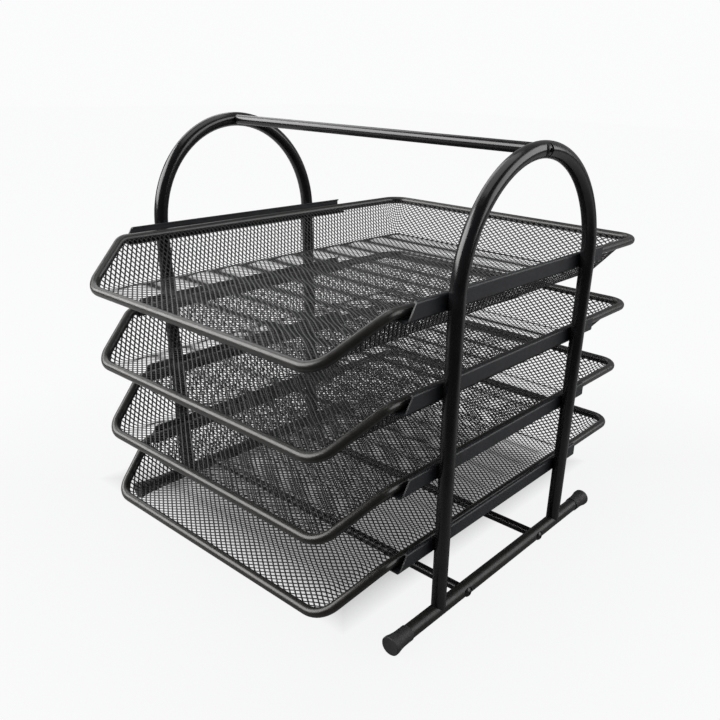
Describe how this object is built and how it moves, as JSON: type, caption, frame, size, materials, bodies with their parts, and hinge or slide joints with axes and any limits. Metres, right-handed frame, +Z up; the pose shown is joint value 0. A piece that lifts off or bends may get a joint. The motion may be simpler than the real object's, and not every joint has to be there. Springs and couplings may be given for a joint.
{
  "type": "letter tray stack with sliding trays",
  "caption": "Desk letter tray stack: open mesh trays with round tube rims slide forward on sheet rails inside a tubular stand with arched sides, a carrying bar and capped feet.",
  "frame": {"origin": "on the floor, under the middle of the trays, midway between the two side frames", "axes": "+X to the right as seen from the open front, +Y to the back, +Z up; the trays slide forward along -Y"},
  "size_m": [0.3018, 0.3536, 0.3054],
  "materials": {
    "black_paint": "satin black powder coat",
    "rail_paint": "satin black powder coat on flat sheet",
    "rim_paint": "satin black powder coat",
    "mesh_paint": "satin black powder coat on expanded metal",
    "cap_plastic": "matte black moulded",
    "black_screw": "black oxide, slightly glossy",
    "plain_steel": "plain zinc plated"
  },
  "bodies": {
    "stand": {"left_arch_tube": "black_paint", "right_arch_tube": "black_paint", "left_foot_tube": "black_paint", "right_foot_tube": "black_paint", "left_front_cap": "cap_plastic", "left_rear_cap": "cap_plastic", "right_front_cap": "cap_plastic", "right_rear_cap": "cap_plastic", "left_rail_1": "rail_paint", "left_rail_2": "rail_paint", "left_rail_3": "rail_paint", "left_rail_4": "rail_paint", "right_rail_1": "rail_paint", "right_rail_2": "rail_paint", "right_rail_3": "rail_paint", "right_rail_4": "rail_paint", "handle_bar": "black_paint", "handle_plugs": "plain_steel", "handle_screws": "black_screw", "front_floor_bar": "black_paint", "rear_floor_bar": "black_paint", "floor_bar_plugs": "plain_steel", "floor_bar_screws": "black_screw"},
    "tray_1": {"tray_1_rim": "rim_paint", "tray_1_basket": "mesh_paint"},
    "tray_2": {"tray_2_rim": "rim_paint", "tray_2_basket": "mesh_paint"},
    "tray_3": {"tray_3_rim": "rim_paint", "tray_3_basket": "mesh_paint"},
    "tray_4": {"tray_4_rim": "rim_paint", "tray_4_basket": "mesh_paint"}
  },
  "joints": [
    {"name": "tray_1_slide", "type": "slide", "parent": "stand", "child": "tray_1", "axis": [0, -1, 0], "range_m": [0, 0.11]},
    {"name": "tray_2_slide", "type": "slide", "parent": "stand", "child": "tray_2", "axis": [0, -1, 0], "range_m": [0, 0.11]},
    {"name": "tray_3_slide", "type": "slide", "parent": "stand", "child": "tray_3", "axis": [0, -1, 0], "range_m": [0, 0.11]},
    {"name": "tray_4_slide", "type": "slide", "parent": "stand", "child": "tray_4", "axis": [0, -1, 0], "range_m": [0, 0.11]}
  ]
}
